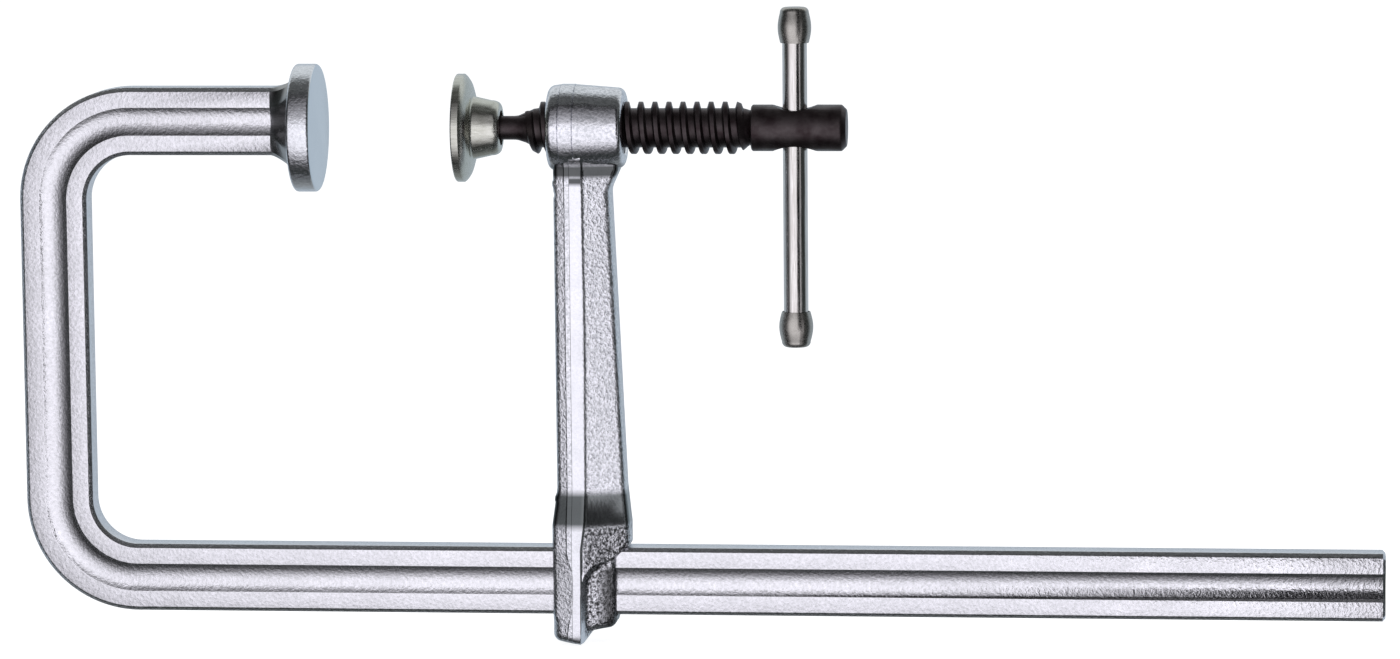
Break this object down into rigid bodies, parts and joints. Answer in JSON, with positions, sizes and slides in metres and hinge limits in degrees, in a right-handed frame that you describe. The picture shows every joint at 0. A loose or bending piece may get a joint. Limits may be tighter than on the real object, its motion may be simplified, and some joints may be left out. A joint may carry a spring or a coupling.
{
  "type": "screw clamp",
  "caption": "All-steel screw clamp: a forged arm slides on a bent profiled rail and its threaded spindle, turned by a cross bar, drives a swivelling pad towards a fixed round anvil.",
  "frame": {"origin": "centre of the fixed anvil's clamping face", "axes": "+X along the screw axis from the anvil towards the screw's head, +Z from the rail towards the screw axis, +Y through the rail's thickness"},
  "size_m": [0.3895, 0.0364, 0.1817],
  "materials": {
    "zinc_plated_blasted": "blasted and bright zinc plated, fine grain",
    "zinc_plated_face": "smooth bright zinc plated",
    "zinc_plated_forging": "zinc plated drop forging, granular, with ground parting land",
    "blackened_steel": "blackened, satin",
    "zinc_plated_turned": "turned and zinc plated, glossy",
    "spring_wire": "drawn wire",
    "bright_plated_bar": "drawn and bright plated",
    "dull_plated_knob": "pressed and plated, duller than the bar"
  },
  "bodies": {
    "frame": {"frame_rail": "zinc_plated_blasted", "anvil_disc": "zinc_plated_face"},
    "arm": {"sliding_arm": "zinc_plated_forging"},
    "thrust": {"pad_retaining_ring": "spring_wire"},
    "screw": {"spindle": "blackened_steel"},
    "pad": {"pressure_pad": "zinc_plated_turned"},
    "tommy": {"tommy_bar": "bright_plated_bar", "tommy_knob_top": "dull_plated_knob", "tommy_knob_bottom": "dull_plated_knob"}
  },
  "joints": [
    {"name": "arm_slide", "type": "slide", "parent": "frame", "child": "arm", "axis": [1, 0, 0], "range_m": [-0.004, 0.21]},
    {"name": "screw_feed", "type": "slide", "parent": "arm", "child": "thrust", "axis": [-1, 0, 0], "range_m": [-0.01201, 0.03201]},
    {"name": "screw_turn", "type": "hinge", "parent": "thrust", "child": "screw", "pos_m": [0.047, 0, 0], "axis": [-1, 0, 0], "range_deg": [-1080, 2880]},
    {"name": "pad_tilt", "type": "hinge", "parent": "thrust", "child": "pad", "pos_m": [0.047, 0, 0], "axis": [0, 1, 0], "range_deg": [-7, 7]},
    {"name": "tommy_slide", "type": "slide", "parent": "screw", "child": "tommy", "axis": [0, 0, 1], "range_m": [-0.018, 0.046]}
  ],
  "couplings": [
    {"joint": "screw_feed", "follows": "screw_turn", "m_per_rad": 0.00063662}
  ]
}
